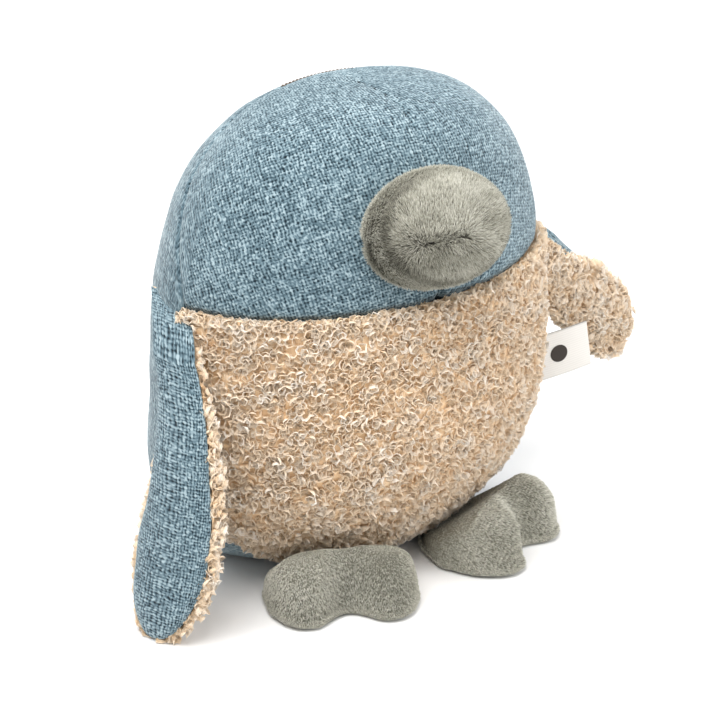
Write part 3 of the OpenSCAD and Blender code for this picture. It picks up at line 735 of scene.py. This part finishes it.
def beak():
    for word, t0, t1 in (("upper", 0, 180), ("lower", 180, 360)):
        t = np.linspace(t0, t1, 150)[:, None]
        v = np.linspace(0, 1, 36)[None, :]
        start = seat(t) - 1.0
        belly = 0.93 + 0.12 * np.sin(np.clip(v, 0, 1) * math.pi) ** 0.8
        corner = np.exp(-(np.minimum(t - t0, t1 - t) / 6.0) ** 2)
        fold = 0.10 * np.exp(-(((v - 0.52) / 0.13) ** 2))
        fold = fold * (np.sin(np.radians(t)) ** 2 if word == "lower" else 0)
        share = belly - 0.05 * corner - fold
        points = beak_point(t, share, start + (RIM_L - start) * v)
        lumps = drift_noise(points[..., 0] / 9, points[..., 1] / 9, points[..., 2] / 9, seed=8)
        points += 0.5 * lumps[..., None] * BEAK_DIR
        n, m = points.shape[:2]
        uv = grid_uv(n, m)
        piece(f"beak_rim_{word}_cloth", points, grid_faces(n, m), PLUSH["beak"], "torso",
              [f"beak_rim_{word}"], tones=even(n, m, 0.25), uv=uv)
        at, normal, _, d2, _, j = on_grid(points, 7, 60 + t0)
        v_at = (j + 0.5) / 35
        # Painted shade: darker in the groove where the rim meets the front, and in the fold across the lower
        # rim.
        shade = 0.06 - 0.45 * np.exp(-(((1 - v_at) / 0.08) ** 2))
        shade = shade - (0.45 * np.exp(-(((v_at - 0.5) / 0.1) ** 2)) if word == "lower" else 0)
        centre = beak_point(0.0, 0.0, RIM_L / 2)
        flip = np.sign(((at - centre) * normal).sum(-1, keepdims=True))
        pile(f"beak_rim_{word}", at, normal * flip, 0.55 * d2, 2.6, 0.42, "torso", 70 + t0, shade=shade)
    t = np.linspace(0, 360, 181)[:, None]
    k = np.concatenate([np.linspace(0.01, 0.9, 50), np.linspace(0.91, 1.0, 14)])[None, :]
    dome = RIM_L - 1.0 + BEAK_BULGE * np.sqrt(np.maximum(0, 1 - k**2.6)) + 0 * t
    x = k * BEAK_W / 2 * np.cos(np.radians(t))
    y = k * BEAK_H / 2 * np.sin(np.radians(t))
    crease = np.exp(-(((y + CREASE_LOW) / 1.2) ** 2)) * np.clip(1.2 - ((x + 6) / CREASE_HALF) ** 2, 0, 1)
    share = k * 0.9
    points = beak_point(t, share, dome - 1.8 * crease)
    n, m = points.shape[:2]
    uv = 0.5 + 0.5 * stacked(k * np.cos(np.radians(t)), k * np.sin(np.radians(t)))
    faces = grid_faces(n, m)
    piece("beak_front_cloth", points, faces, PLUSH["beak"], "torso", ["beak_front", "beak_fill"],
          tones=even(n, m, 0.3), uv=uv)
    at, normal, _, _, _, _ = on_grid(points, 10, 90)
    normal = normal * np.sign((normal * BEAK_DIR).sum(-1, keepdims=True) + 1e-6)
    step = at - beak_point(0.0, 0.0, RIM_L)
    step_x, step_y = (step * BEAK_SIDE).sum(-1), (step * BEAK_UP).sum(-1)
    x, y = step_x - np.clip(step_x, -CREASE_HALF - 6, CREASE_HALF - 6), step_y + CREASE_LOW
    lean = unit(x[:, None] * BEAK_SIDE + y[:, None] * BEAK_UP)
    lean = lean * np.clip(np.hypot(x, y) / 5, 0.35, 1)[:, None]
    edge = np.hypot(step_x / (BEAK_W / 2), step_y / (BEAK_H / 2)) / 0.9
    # Painted light and shade: lighter towards the top, darker in the groove round the edge and towards the -x
    # side; the noise is uneven tone.
    shade = 0.04 + 0.05 * step_y / (BEAK_H / 2) - 0.3 * np.exp(-(((1 - edge) / 0.07) ** 2))
    shade = shade - 0.12 * np.clip(-step_x / (BEAK_W / 2), 0, 1)
    shade = shade + 0.12 * drift_noise(at[:, 0] / 5, at[:, 1] / 5, at[:, 2] / 5, seed=19)
    pile("beak_front", at, normal, 0.95 * lean, 3.4, 0.4, "torso", 95, shade=shade)


# ---- the wings ----


def turned(v, axis, angle):
    c, s = math.cos(math.radians(angle)), math.sin(math.radians(angle))
    x, y, z = v
    if axis == "y":
        return np.array([x * c + z * s, y, -x * s + z * c])
    return np.array([x * c - y * s, x * s + y * c, z])


def wing_frame(side):
    """Directions of a wing's length, its width and its outer face."""
    w = math.radians(WING_TWIST[side])
    start = [[0, 0, -1], [math.sin(w) * -side, math.cos(w), 0], [side * math.cos(w), math.sin(w), 0]]
    swing = WING_SWING[side]
    return [turned(turned(v, "y", -side * WING_OUT[side]), "z", swing) for v in start]


def wing_root(side):
    s = level(SHOULDER_Z[side])
    mx, my = middle(s)
    return np.array([
        side * (BODY_W / 2 * reach(s) + SHOULDER_GAP) + float(mx),
        float(my) - SHOULDER_FRONT[side],
        SHOULDER_Z[side],
    ])


def half_width(side, u):
    root, wide = WING_ROOT_W[side] / 2, WING_W[side] / 2
    tip = np.sqrt(np.maximum(0, 1 - np.maximum(0, (u - 0.62) / 0.38) ** 2))
    return (root + (wide - root) * ease(u / 0.8)) * (0.04 + 0.96 * tip)


def wing_plump(u):
    """Half the thickness of a wing along its middle line."""
    rise_ = 0.45 + 0.55 * np.sin(np.minimum(math.pi / 2, np.radians(u * 200)))
    return (WING_T / 2 + 2.0) * rise_ * np.sqrt(np.maximum(0, 1 - u**7))


def wing_bow(side, u):
    return -WING_BOW * np.sin(np.radians(150 * u**0.75)) if side == RIGHT else 0 * u


# Length of the cloth above a wing's seam, drawn in to the body, and where it is sewn on.
WING_TUCK, TUCK_RISE, TUCK_TURN = 0.2, 17, 100
# How far the outer cloth wraps round the upper edge of the left wing at its root, degrees.
WRAP = {RIGHT: 8, LEFT: 55}


def wing(side, word):
    """Two cloths sewn round a flat filling: the woven one wraps a little round the edge."""
    length, wide, out = wing_frame(side)
    root = wing_root(side)
    seam = body_point(side * TUCK_TURN, level(SHOULDER_Z[side] + TUCK_RISE), -4.0)
    bend = ("torso", f"wing_{word}", tuple(root * MM), tuple((root + length * 14) * MM))

    def at(u, turn, proud):
        """Point of the wing's surface at a turn round its section, 0 at one edge and 180 at the other."""
        u, turn, proud = np.broadcast_arrays(u, turn, proud)
        tuck = np.clip(-u / WING_TUCK, 0, 1)
        k = np.maximum(u, 0)
        easy = ease(tuck)
        line = root + (WING_L * k)[..., None] * length + tuck[..., None] * (seam - root)
        line = line + (7 * np.sin(tuck * math.pi) * (1 - tuck))[..., None] * -length
        thick = wing_plump(k) * (1 - 0.85 * easy) + proud
        half = half_width(side, k) * (1 - 0.15 * easy) + proud
        c, z = np.cos(np.radians(turn)), np.sin(np.radians(turn))
        flat = np.sign(c) * np.abs(c) ** 0.85 * half + wing_bow(side, k)
        return line + flat[..., None] * wide + (z * thick)[..., None] * out

    def cloth(first, last, rows, columns):
        u = np.linspace(-WING_TUCK, 1, rows)[:, None]
        share = np.linspace(0, 1, columns)[None, :]
        fall = 1 - ease(np.clip(u, 0, 1) / 0.55)
        turn = first(fall) + (last(fall) - first(fall)) * share
        return u, turn, share

    # The section is turned from the lower edge (0) over the outer face (90) to the upper edge (180).
    low, high = (lambda f: -8 + 0 * f), (lambda f: 180 + WRAP[side] * f + 6)
    u, turn, share = cloth(low, high, 420, 130)
    arc = half_width(side, np.maximum(u, 0)) * (turn - 90) / 57.3 * 0.8
    nub, chance = weave_relief(arc, WING_L * u + 0 * turn, 400 + side)
    edge = np.minimum(share, 1 - share) * 2 * half_width(side, np.maximum(u, 0)) * 1.3
    proud = 0.5 * nub - 1.1 * np.exp(-((edge / 1.8) ** 2)) + 0.5 * drift_noise(u * 8, turn / 60, seed=12)
    points = at(u, turn, proud)
    n, m = turn.shape
    uv = grid_uv(n, m)
    # The tone follows the yarn height: the dark gaps are painted shade.
    piece(f"wing_outer_{word}_cloth", points, grid_faces(n, m), WEAVE, None,
          [f"wing_outer_{word}", f"wing_fill_{word}"],
          tones={"tone": 0.06 + 0.86 * nub, "tint": chance}, uv=uv, bend=bend)
    u, turn, share = cloth(lambda f: high(f) - 3, lambda f: 355 + 0 * f, 150, 60)
    inner = at(u, turn, 0.4)
    relief = sherpa_relief(inner, 77)
    n, m = turn.shape
    uv = grid_uv(n, m)
    # The backing's tone follows its relief: painted light on the lumps, painted shade in the dips.
    piece(f"wing_inner_{word}_cloth", at(u, turn, 0.4 + 0.5 * relief), grid_faces(n, m), SHERPA, None,
          [f"wing_inner_{word}"], tones={"tone": 0.46 + 0.14 * relief, "tint": 0.5 + 0 * relief},
          uv=uv, bend=bend)
    first = int(150 * WING_TUCK / (1 + WING_TUCK)) - 6
    rng = np.random.default_rng(700 + side)
    cells = inner[first:]
    d1, d2 = cells[1:, :-1] - cells[:-1, :-1], cells[:-1, 1:] - cells[:-1, :-1]
    area = np.linalg.norm(np.cross(d1, d2), axis=-1)
    pick = rng.choice(area.size, size=int(area.sum() / 3.9), p=(area / area.sum()).ravel())
    i, j = np.unravel_index(pick, area.shape)
    f, g = rng.random((2, len(pick), 1))
    # None where the upper part of the right wing's rear edge lies against the body.
    bare = np.full(len(i), side == RIGHT) & (u[first:][i][:, 0] < 0.32) & (turn[first:][i, j] > 305)
    i, j, f, g = i[~bare], j[~bare], f[~bare], g[~bare]
    spot = cells[i, j] + f * d1[i, j] + g * d2[i, j]
    middle_line = at(u[first:][i][:, 0], 90.0, 0.0) * 0.5 + at(u[first:][i][:, 0], 270.0, 0.0) * 0.5
    normal = unit(np.cross(d1[i, j], d2[i, j]))
    normal = normal * np.sign(((spot - middle_line) * normal).sum(-1, keepdims=True))
    curls(f"wing_inner_{word}", spot - 0.5 * normal, normal, None, 720 + side, bend=bend)
    lower, upper = (lambda f: low(f) - 3), (lambda f: high(f) + 3)
    for way, at_turn, begin in ((1, lower, 0.3 if side == RIGHT else 0.0), (2, upper, 0.12)):
        for lap in range(3):
            eu = rng.uniform(begin, 0.998, 75)
            grow = ease((eu - begin) / 0.25)[:, None]
            spot = at(eu, at_turn(1 - ease(eu / 0.55)), -0.8) + rng.normal(size=(75, 3)) * 0.5
            spine = root + (WING_L * np.minimum(eu, 0.86))[:, None] * length + wing_bow(side, eu)[:, None] * wide
            face = unit(unit(spot - spine) - 0.45 * out)
            reach_out = 2.0 if side == RIGHT and way == 1 else 1.1
            spot = spot + (lap * reach_out * grow - 0.9) * face - 0.9 * lap * out
            seed = 760 + side * 9 + way * 3 + lap
            curls(f"wing_inner_{word}_edge_{way}{lap}", spot, face, None, seed, bend=bend)


# ---- the feet ----


def toe_line(x):
    half = FOOT_W / 2
    return (
        FOOT_L
        - NOTCH_D * np.maximum(0, 1 - (x / half / 0.5) ** 2) ** 2
        - FOOT_L * 0.3 * np.maximum(0, (np.abs(x) / half - 0.5) / 0.5) ** 3
    )


def heel_line(x):
    return FOOT_L * 0.42 * (np.abs(x) / (FOOT_W / 2)) ** 2.5


def foot_top(along, x):
    from_toe = np.maximum(0, toe_line(x) - along) / FOOT_L
    front = np.sqrt(np.maximum(0, 1 - np.maximum(0, 1 - from_toe / 0.26) ** 2))
    back = np.clip((along - 1) / (FOOT_L * 0.62), 0, 1) ** 1.1
    side = np.maximum(0, 1 - (np.abs(x) / (FOOT_W / 2)) ** 5) ** 0.4
    return FOOT_H * (0.12 + 0.88 * front * back) * (0.12 + 0.88 * side)


def foot(side, word):
    swing = math.radians(side * TOE_OUT)

    def place(x, along, z):
        y = -along
        return stacked(
            HEEL_X[side] + x * math.cos(swing) - y * math.sin(swing),
            -HEEL_FRONT[side] + x * math.sin(swing) + y * math.cos(swing),
            z,
        )

    x = np.sin(np.linspace(-math.pi / 2, math.pi / 2, 110)) * 0.45 + np.linspace(-1, 1, 110) * 0.55
    x = x[:, None] * FOOT_W / 2
    k = (1 - (1 - np.linspace(0, 1, 90)) ** 1.35)[None, :]
    along = heel_line(x) + (toe_line(x) - heel_line(x)) * k
    z = np.maximum(SOLE_T + 1.2, foot_top(along, x) - 1.2)
    x2 = x + 0 * along
    # The upper cloth turns in at all its edges, down to the sole.
    to_side = np.minimum(np.arange(110), 109 - np.arange(110))[:, None]
    hem = np.minimum(np.minimum(k, 1 - k) * 12, to_side / 3.0)
    z = np.minimum(z, SOLE_T - 0.6 + (z - SOLE_T + 0.6) * ease(hem))
    points = place(x2, along, z)
    points[..., 2] += 0.35 * drift_noise(points[..., 0] / 12, points[..., 1] / 12, seed=15) * (z > SOLE_T + 3)
    n, m = along.shape
    uv = grid_uv(n, m)
    piece(f"foot_upper_{word}_cloth", points, grid_faces(n, m), PLUSH["foot"], f"foot_{word}",
          [f"foot_upper_{word}", f"foot_fill_{word}"],
          tones=even(n, m, 0.22), uv=uv)
    at, normal, _, _, _, _ = on_grid(points, 6, 800 + side)
    normal = normal * np.where(normal[:, 2:] < 0, -1, 1)
    forward = np.array([math.sin(swing), -math.cos(swing), -0.25])
    row = (at * unit(forward)).sum(-1) + 1.1 * drift_noise(at[:, 0] / 9, at[:, 1] / 9, at[:, 2] / 9, seed=17)
    shade = 0.1 * np.sin(row / 1.5 * 2 * math.pi)
    shade = shade + 0.14 * drift_noise(at[:, 0] / 14, at[:, 1] / 14, at[:, 2] / 14, seed=18)
    pile(f"foot_upper_{word}", at, normal, 0.9 * unit(forward)[None, :] + 0 * at, 1.7, 0.34,
         f"foot_{word}", 820 + side, shade=shade)
    rim_x = np.concatenate([x[:, 0], x[::-1, 0]])
    rim_l = np.concatenate([toe_line(x[:, 0]), heel_line(x[::-1, 0])])
    ring = place(rim_x, rim_l, np.full(rim_x.shape, SOLE_T + 1.4))
    centre = ring.mean(0)
    rows = [centre + (ring - centre) * f + np.array([0, 0, dz]) for f, dz in
            ((0.985, 0.0), (1.0, -0.8), (0.995, -2.2), (0.96, -3.2), (0.6, -3.3), (0.02, -3.3))]
    under = np.stack(rows, axis=1)
    under[..., 2] = np.maximum(under[..., 2], 0.05)
    at, normal, _, _, _, _ = on_grid(under[:, :3], 7, 840 + side)
    normal = normal * np.sign(((at - centre) * normal).sum(-1, keepdims=True))
    lean = 0.5 * unit(forward)[None, :] * [1, 1, 0] + 0 * at
    pile(f"foot_sole_{word}", at + [0, 0, 0.6], normal, lean, 1.5, 0.34,
         f"foot_{word}", 850 + side)
    n, m = under.shape[:2]
    uv = grid_uv(n, m)
    piece(f"foot_sole_{word}_cloth", under, grid_faces(n, m, wrap=True), PLUSH["foot"], f"foot_{word}",
          [f"foot_sole_{word}"], tones=even(n, m, 0.3), uv=uv)


# ---- the label and the zip ----

# Satin ribbon for the label, cotton twill for the zip's tape, nylon for its coil.
RIBBON_STOPS, DOT_STOPS = [(0.0, "#8d8a84"), (1.0, "#e0ddd8")], [(0.0, "#2c2724"), (1.0, "#4a433e")]
LABEL = fabric("satin_ribbon", RIBBON_STOPS, 0.05, 5200, 0.05, roughness=0.45, sheen=0.1)
MARK = fabric("printed_dot", DOT_STOPS, 0.05, 5200, 0.05, roughness=0.6, sheen=0.1)
TAPE = fabric("twill_tape", [(0.0, "#7d8a90"), (1.0, "#c9d3d6")], 0.1, 4200, 0.12)
COIL = fabric("nylon_coil", [(0.0, "#4a3f38"), (1.0, "#94867b")], 0.1, 900, 0.02, roughness=0.4, sheen=0.0)

LABEL_W, LABEL_H, LABEL_Z, LABEL_TURN, LABEL_T, LABEL_LIFT = 38, 22, 56, 15, 0.9, 9


def zinc():
    """Die-cast zinc, tumbled and plated: a dull even shine with fine scuffs."""
    material = bpy.data.materials.new("tumbled_zinc")
    material.use_nodes = True
    tree = material.node_tree
    tree.nodes.clear()
    place = add(tree, "ShaderNodeTexCoord").outputs["Object"]
    scuffs = add(tree, "ShaderNodeTexNoise", {"Vector": place, "Scale": 900, "Detail": 4})
    dull = add(tree, "ShaderNodeMath", {0: scuffs.outputs["Fac"], 1: 0.2, 2: 0.28}, operation="MULTIPLY_ADD")
    shader = add(
        tree, "ShaderNodeBsdfPrincipled",
        {"Base Color": colour("#9a9b9d"), "Metallic": 1.0, "Roughness": dull.outputs[0]},
    )
    add(tree, "ShaderNodeOutputMaterial", {"Surface": shader.outputs["BSDF"]})
    return material


def label_tilt(points, start, along):
    """Lifts the label's outer end a little."""
    x, z = ((points - start) * along).sum(-1), points[..., 2] - LABEL_Z
    a = math.radians(LABEL_LIFT)
    new_x, new_z = x * math.cos(a) - z * math.sin(a), x * math.sin(a) + z * math.cos(a)
    return points + (new_x - x)[..., None] * along + (new_z - z)[..., None] * np.array([0, 0, 1.0])


def label():
    """A folded ribbon with a plain printed dot, no words, sewn into the left seam."""
    start = body_point(SIDE_SEAM, level(float(LABEL_Z)), 2.0)
    turn = math.radians(-LABEL_TURN)
    along = np.array([math.cos(turn), math.sin(turn), 0])
    face = np.array([math.sin(turn), -math.cos(turn), 0])
    k = np.linspace(0, 1, 61)
    # Out along the front layer, round the fold, and back along the rear layer.
    fold = np.linspace(0, math.pi, 9)[1:-1]
    run = np.concatenate([k * LABEL_W, LABEL_W + 0.4 * np.sin(fold), k[::-1] * LABEL_W])
    lift = np.concatenate([0 * k + LABEL_T / 2, LABEL_T / 2 * np.cos(fold), 0 * k - LABEL_T / 2])
    z = np.linspace(-0.5, 0.5, 41)[None, :]
    run, lift = run[:, None], lift[:, None]
    bow = 1.6 * np.sin(run / LABEL_W * 2.6) + 0.7 * z * run / LABEL_W
    points = start + run[..., None] * along + (lift + bow)[..., None] * face
    points[..., 2] = LABEL_Z + LABEL_H * z
    points = label_tilt(points, start, along)
    weft = 0.93 + 0.07 * np.cos(z * 40 * math.pi) + 0 * run
    edge = np.minimum(0.5 - np.abs(z), 0.5) * LABEL_H
    # Painted shade along the ribbon's upper and lower edges.
    tone = weft - 0.25 * np.exp(-((edge / 0.5) ** 2))
    n, m = tone.shape
    uv = grid_uv(n, m)
    piece("label_ribbon", points, grid_faces(n, m), LABEL, "side_label", ["label"],
          tones={"tone": tone, "tint": 0.5 + 0 * tone}, uv=uv)
    turn_ = np.linspace(0, 2 * math.pi, 49)[:-1][:, None]
    ring = np.array([0.02, 1.5, 3.0, 4.2])[None, :]
    x, y = LABEL_W * 0.6 + ring * np.cos(turn_), ring * np.sin(turn_)
    bow = 1.6 * np.sin(x / LABEL_W * 2.6) + 0.7 * y / LABEL_H * x / LABEL_W
    points = start + x[..., None] * along + (LABEL_T / 2 + 0.12 + bow)[..., None] * face
    points[..., 2] = LABEL_Z + y
    points = label_tilt(points, start, along)
    uv = 0.5 + stacked(ring * np.cos(turn_), ring * np.sin(turn_)) / 10
    piece("label_dot", points, grid_faces(48, 4, wrap=True), MARK, "side_label", [],
          tones={"tone": np.full(x.shape, 0.4), "tint": np.full(x.shape, 0.5)}, uv=uv)


ZIP_L, ZIP_START, ZIP_PITCH, ZIP_SUNK = 92, 16, 1.9, 1.5


def crown_seam(x):
    """Point and outward normal of the seam over the crown, at distances x from the centre plane."""
    turns = np.concatenate([np.linspace(-SIDE_SEAM, -180, 400), np.linspace(180, SIDE_SEAM, 400)])
    s = crown_seam_level(turns)
    p, n = body_point(turns, s), body_normal(turns, s)
    pick = [np.interp(x, p[:, 0], v) for v in (*p.T, *n.T)]
    return stacked(*pick[:3]), unit(stacked(*pick[3:]))


def zip_closure():
    """The tape in the groove of the seam, and the coil's loops, two staggered rows of them."""
    x = np.linspace(-ZIP_START, ZIP_L - ZIP_START, 300)
    mid, out = crown_seam(x)
    along = unit(np.gradient(mid, axis=0))
    across = np.cross(out, along)
    w = np.linspace(-3.2, 3.2, 25)
    rib = 0.12 * np.cos(w[None, :] * 4 + x[:, None] * 5)
    sunk = rib - 0.02 * w**2 - ZIP_SUNK
    points = mid[:, None] + w[None, :, None] * across[:, None] + sunk[..., None] * out[:, None]
    n, m = points.shape[:2]
    uv = grid_uv(n, m)
    # The tape's tone follows its ribs: painted light on their crests, painted shade between them.
    piece("zip_tape_cloth", points, grid_faces(n, m), TAPE, "torso", ["zip_tape"],
          tones={"tone": 0.6 + 2 * rib, "tint": 0.5 + 0 * rib}, uv=uv)
    spots = np.arange(1, ZIP_L - 1, ZIP_PITCH) - ZIP_START
    paths, sides, ups = [], [], []
    for way in (-1, 1):
        c, o = crown_seam(spots + (ZIP_PITCH / 2 if way > 0 else 0))
        a = unit(np.gradient(c, axis=0))
        b = np.cross(o, a)
        k = np.linspace(0, 1, 7)
        reach_ = way * (2.3 - 2.7 * k)
        lift = 0.3 - ZIP_SUNK + 1.2 * np.sin(k * math.pi * 0.85 + 0.25)
        paths.append(c[:, None] + reach_[None, :, None] * b[:, None] + lift[None, :, None] * o[:, None])
        sides.append(a[:, None] + 0 * paths[-1])
        ups.append(o[:, None] + 0 * paths[-1])
    path, side_, up = (np.concatenate(v) for v in (paths, sides, ups))
    radius = np.full(path.shape[:2], 0.36)
    tone = np.full(path.shape[:2], 0.6)
    chance = scatter(np.arange(len(path)))
    points, faces, tones, tints, uv = tubes(path, radius, side_, up, tone, chance, sides=8)
    piece("zip_coil_loops", points, faces, COIL, "torso", ["zip_coil"],
          tones={"tone": tones, "tint": tints}, uv=uv)


# ---- surroundings, light and camera ----

AIM = np.array([0, 0, 117.6])
CAMERA_AZ, CAMERA_EL, CAMERA_FAR = -37.2, 22.5, 1344
LENS, SENSOR = 158.2, 36
AIM_RIGHT, AIM_DOWN = 5.9, 31.9
# Name, azimuth and elevation in degrees, distance and size in metres, power in watts.
LIGHTS = (
    ("key", -56, 66, 1.3, 0.8, 16),
    ("fill", 45, 22, 1.4, 0.9, 8),
    ("back", 160, 55, 1.4, 0.8, 9),
)


def surroundings():
    bpy.ops.mesh.primitive_plane_add(size=6, location=(0, 0, -0.0005))
    floor = bpy.context.object
    floor.name = "floor"
    white = bpy.data.materials.new("pale_floor")
    white.use_nodes = True
    shader = white.node_tree.nodes["Principled BSDF"]
    shader.inputs["Base Color"].default_value = colour("#f4f4f4")
    shader.inputs["Roughness"].default_value = 0.9
    floor.data.materials.append(white)
    scene = bpy.context.scene
    scene.view_settings.view_transform = "Standard"
    world = bpy.data.worlds.new("studio")
    scene.world = world
    world.use_nodes = True
    world.node_tree.nodes["Background"].inputs["Color"].default_value = (1, 1, 1, 1)
    world.node_tree.nodes["Background"].inputs["Strength"].default_value = 0.62
    for name, az, el, far, size, power in LIGHTS:
        a, e = math.radians(az), math.radians(el)
        light = bpy.data.lights.new(name, "AREA")
        light.size, light.energy = size, power
        ob = bpy.data.objects.new(name, light)
        scene.collection.objects.link(ob)
        ob.location = Vector((math.sin(a) * math.cos(e), -math.cos(a) * math.cos(e), math.sin(e))) * far
        ob.rotation_euler = (Vector((0, 0, 0.1)) - ob.location).to_track_quat("-Z", "Y").to_euler()


def camera():
    a, e = math.radians(CAMERA_AZ), math.radians(CAMERA_EL)
    back = np.array([math.sin(a) * math.cos(e), -math.cos(a) * math.cos(e), math.sin(e)])
    right = np.array([math.cos(a), math.sin(a), 0])
    up = np.cross(back, right)
    data = bpy.data.cameras.new("camera")
    data.lens, data.sensor_width = LENS, SENSOR
    data.clip_start, data.clip_end = 0.1, 20
    ob = bpy.data.objects.new("camera", data)
    bpy.context.scene.collection.objects.link(ob)
    place = Vector((AIM + back * CAMERA_FAR) * MM)
    target = Vector((AIM + right * AIM_RIGHT - up * AIM_DOWN) * MM)
    ob.location = place
    ob.rotation_euler = (target - place).to_track_quat("-Z", "Y").to_euler()
    bpy.context.scene.camera = ob


body_panels()
base_panel()
bib()
beak()
for side, word in ((RIGHT, "right"), (LEFT, "left")):
    wing(side, word)
    foot(side, word)
label()
zip_closure()
ZINC = zinc()
for node in ("zip_slider", "zip_pull"):
    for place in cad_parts[node].material_slots:
        place.material = ZINC
surroundings()
camera()
